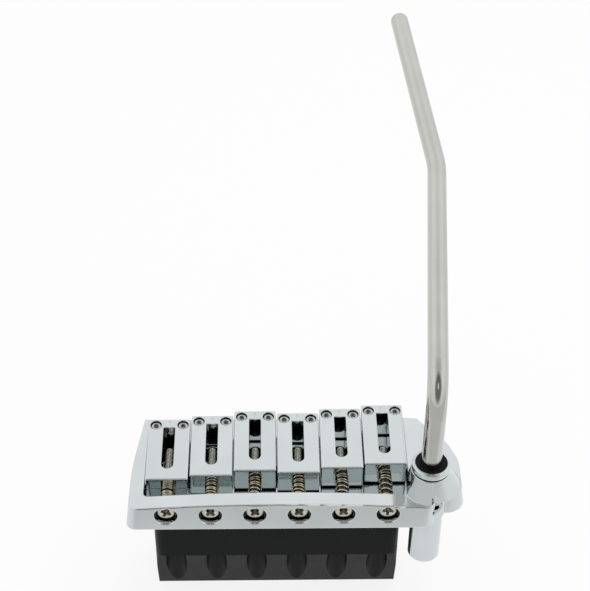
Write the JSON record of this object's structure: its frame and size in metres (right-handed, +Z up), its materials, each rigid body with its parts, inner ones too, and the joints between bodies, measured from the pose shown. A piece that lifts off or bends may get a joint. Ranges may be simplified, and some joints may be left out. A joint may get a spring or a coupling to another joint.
{
  "type": "guitar tremolo bridge",
  "caption": "Chrome tremolo bridge with a tray of adjustable block saddles, a black string block below and a bent push-in arm that rocks it on two knife edges.",
  "frame": {"origin": "midway between the two pivot notches, at the level of the tray floor, where the knife edges are", "axes": "+X to the treble side, +Y to the neck, +Z up from the guitar's top"},
  "size_m": [0.0835, 0.1367, 0.1027],
  "materials": {
    "chrome": "polished plating",
    "block_black": "satin black",
    "bushing_black": "smooth",
    "arm_nickel": "satin nickel plating",
    "screw_nickel": "nickel plating",
    "screw_steel": "plain steel",
    "spring_wire": "drawn wire with a warm tint"
  },
  "bodies": {
    "bridge_base": {"base_plate": "chrome", "tremolo_block": "block_black", "block_screws": "screw_steel", "arm_collar_nut": "chrome", "arm_bushing": "bushing_black"},
    "tension_screw": {"arm_tension_screw": "screw_steel"},
    "arm_carrier": {"arm_retaining_ring": "spring_wire"},
    "arm": {"tremolo_arm": "arm_nickel"},
    "spring_1": {"intonation_spring_1": "spring_wire"},
    "intonation_screw_1": {"intonation_screw_1": "screw_nickel"},
    "saddle_1": {"saddle_1": "chrome"},
    "height_screws_1": {"height_screws_1": "screw_steel"},
    "spring_2": {"intonation_spring_2": "spring_wire"},
    "intonation_screw_2": {"intonation_screw_2": "screw_nickel"},
    "saddle_2": {"saddle_2": "chrome"},
    "height_screws_2": {"height_screws_2": "screw_steel"},
    "spring_3": {"intonation_spring_3": "spring_wire"},
    "intonation_screw_3": {"intonation_screw_3": "screw_nickel"},
    "saddle_3": {"saddle_3": "chrome"},
    "height_screws_3": {"height_screws_3": "screw_steel"},
    "spring_4": {"intonation_spring_4": "spring_wire"},
    "intonation_screw_4": {"intonation_screw_4": "screw_nickel"},
    "saddle_4": {"saddle_4": "chrome"},
    "height_screws_4": {"height_screws_4": "screw_steel"},
    "spring_5": {"intonation_spring_5": "spring_wire"},
    "intonation_screw_5": {"intonation_screw_5": "screw_nickel"},
    "saddle_5": {"saddle_5": "chrome"},
    "height_screws_5": {"height_screws_5": "screw_steel"},
    "spring_6": {"intonation_spring_6": "spring_wire"},
    "intonation_screw_6": {"intonation_screw_6": "screw_nickel"},
    "saddle_6": {"saddle_6": "chrome"},
    "height_screws_6": {"height_screws_6": "screw_steel"}
  },
  "joints": [
    {"name": "tension_screw_turn", "type": "hinge", "parent": "bridge_base", "child": "tension_screw", "pos_m": [0.0374, -0.0284, 0.0017], "axis": [0.342, -0.9397, 0], "range_deg": [-180, 180]},
    {"name": "arm_pull_out", "type": "slide", "parent": "bridge_base", "child": "arm_carrier", "axis": [0, 0, 1], "range_m": [0, 0.032]},
    {"name": "arm_swing", "type": "hinge", "parent": "arm_carrier", "child": "arm", "pos_m": [0.0374, -0.0284, 0], "axis": [0, 0, 1], "continuous": true},
    {"name": "saddle_1_tilt", "type": "hinge", "parent": "bridge_base", "child": "spring_1", "pos_m": [-0.027, -0.0325, 0.00215], "axis": [1, 0, 0], "range_deg": [-0.72, 4.02]},
    {"name": "intonation_screw_1_turn", "type": "hinge", "parent": "spring_1", "child": "intonation_screw_1", "pos_m": [-0.027, -0.0325, 0.00215], "axis": [0, 1, 0], "range_deg": [-5365, 645]},
    {"name": "saddle_1_slide", "type": "slide", "parent": "spring_1", "child": "saddle_1", "axis": [0, 1, 0], "range_m": [-0.0008, 0.0067], "deforming": ["intonation_spring_1"]},
    {"name": "height_screws_1_slide", "type": "slide", "parent": "saddle_1", "child": "height_screws_1", "axis": [0, 0, 1], "range_m": [-0.00152, 0.00027]},
    {"name": "saddle_2_tilt", "type": "hinge", "parent": "bridge_base", "child": "spring_2", "pos_m": [-0.0162, -0.0325, 0.00215], "axis": [1, 0, 0], "range_deg": [-0.72, 4.02]},
    {"name": "intonation_screw_2_turn", "type": "hinge", "parent": "spring_2", "child": "intonation_screw_2", "pos_m": [-0.0162, -0.0325, 0.00215], "axis": [0, 1, 0], "range_deg": [-4405, 1605]},
    {"name": "saddle_2_slide", "type": "slide", "parent": "spring_2", "child": "saddle_2", "axis": [0, 1, 0], "range_m": [-0.002, 0.0055], "deforming": ["intonation_spring_2"]},
    {"name": "height_screws_2_slide", "type": "slide", "parent": "saddle_2", "child": "height_screws_2", "axis": [0, 0, 1], "range_m": [-0.00152, 0.00027]},
    {"name": "saddle_3_tilt", "type": "hinge", "parent": "bridge_base", "child": "spring_3", "pos_m": [-0.0054, -0.0325, 0.00215], "axis": [1, 0, 0], "range_deg": [-0.72, 4.02]},
    {"name": "intonation_screw_3_turn", "type": "hinge", "parent": "spring_3", "child": "intonation_screw_3", "pos_m": [-0.0054, -0.0325, 0.00215], "axis": [0, 1, 0], "range_deg": [-3125, 2885]},
    {"name": "saddle_3_slide", "type": "slide", "parent": "spring_3", "child": "saddle_3", "axis": [0, 1, 0], "range_m": [-0.0036, 0.0039], "deforming": ["intonation_spring_3"]},
    {"name": "height_screws_3_slide", "type": "slide", "parent": "saddle_3", "child": "height_screws_3", "axis": [0, 0, 1], "range_m": [-0.00152, 0.00027]},
    {"name": "saddle_4_tilt", "type": "hinge", "parent": "bridge_base", "child": "spring_4", "pos_m": [0.0054, -0.0325, 0.00215], "axis": [1, 0, 0], "range_deg": [-0.72, 4.02]},
    {"name": "intonation_screw_4_turn", "type": "hinge", "parent": "spring_4", "child": "intonation_screw_4", "pos_m": [0.0054, -0.0325, 0.00215], "axis": [0, 1, 0], "range_deg": [-3765, 2245]},
    {"name": "saddle_4_slide", "type": "slide", "parent": "spring_4", "child": "saddle_4", "axis": [0, 1, 0], "range_m": [-0.0028, 0.0047], "deforming": ["intonation_spring_4"]},
    {"name": "height_screws_4_slide", "type": "slide", "parent": "saddle_4", "child": "height_screws_4", "axis": [0, 0, 1], "range_m": [-0.00152, 0.00027]},
    {"name": "saddle_5_tilt", "type": "hinge", "parent": "bridge_base", "child": "spring_5", "pos_m": [0.0162, -0.0325, 0.00215], "axis": [1, 0, 0], "range_deg": [-0.72, 4.02]},
    {"name": "intonation_screw_5_turn", "type": "hinge", "parent": "spring_5", "child": "intonation_screw_5", "pos_m": [0.0162, -0.0325, 0.00215], "axis": [0, 1, 0], "range_deg": [-2565, 3445]},
    {"name": "saddle_5_slide", "type": "slide", "parent": "spring_5", "child": "saddle_5", "axis": [0, 1, 0], "range_m": [-0.0043, 0.0032], "deforming": ["intonation_spring_5"]},
    {"name": "height_screws_5_slide", "type": "slide", "parent": "saddle_5", "child": "height_screws_5", "axis": [0, 0, 1], "range_m": [-0.00152, 0.00027]},
    {"name": "saddle_6_tilt", "type": "hinge", "parent": "bridge_base", "child": "spring_6", "pos_m": [0.027, -0.0325, 0.00215], "axis": [1, 0, 0], "range_deg": [-0.72, 4.02]},
    {"name": "intonation_screw_6_turn", "type": "hinge", "parent": "spring_6", "child": "intonation_screw_6", "pos_m": [0.027, -0.0325, 0.00215], "axis": [0, 1, 0], "range_deg": [-1605, 4405]},
    {"name": "saddle_6_slide", "type": "slide", "parent": "spring_6", "child": "saddle_6", "axis": [0, 1, 0], "range_m": [-0.0055, 0.002], "deforming": ["intonation_spring_6"]},
    {"name": "height_screws_6_slide", "type": "slide", "parent": "saddle_6", "child": "height_screws_6", "axis": [0, 0, 1], "range_m": [-0.00152, 0.00027]}
  ],
  "couplings": [
    {"joint": "intonation_screw_1_turn", "follows": "saddle_1_slide", "rad_per_m": -13963},
    {"joint": "saddle_1_tilt", "follows": "height_screws_1_slide", "rad_per_m": -45.872},
    {"joint": "intonation_screw_2_turn", "follows": "saddle_2_slide", "rad_per_m": -13963},
    {"joint": "saddle_2_tilt", "follows": "height_screws_2_slide", "rad_per_m": -45.872},
    {"joint": "intonation_screw_3_turn", "follows": "saddle_3_slide", "rad_per_m": -13963},
    {"joint": "saddle_3_tilt", "follows": "height_screws_3_slide", "rad_per_m": -45.872},
    {"joint": "intonation_screw_4_turn", "follows": "saddle_4_slide", "rad_per_m": -13963},
    {"joint": "saddle_4_tilt", "follows": "height_screws_4_slide", "rad_per_m": -45.872},
    {"joint": "intonation_screw_5_turn", "follows": "saddle_5_slide", "rad_per_m": -13963},
    {"joint": "saddle_5_tilt", "follows": "height_screws_5_slide", "rad_per_m": -45.872},
    {"joint": "intonation_screw_6_turn", "follows": "saddle_6_slide", "rad_per_m": -13963},
    {"joint": "saddle_6_tilt", "follows": "height_screws_6_slide", "rad_per_m": -45.872}
  ]
}
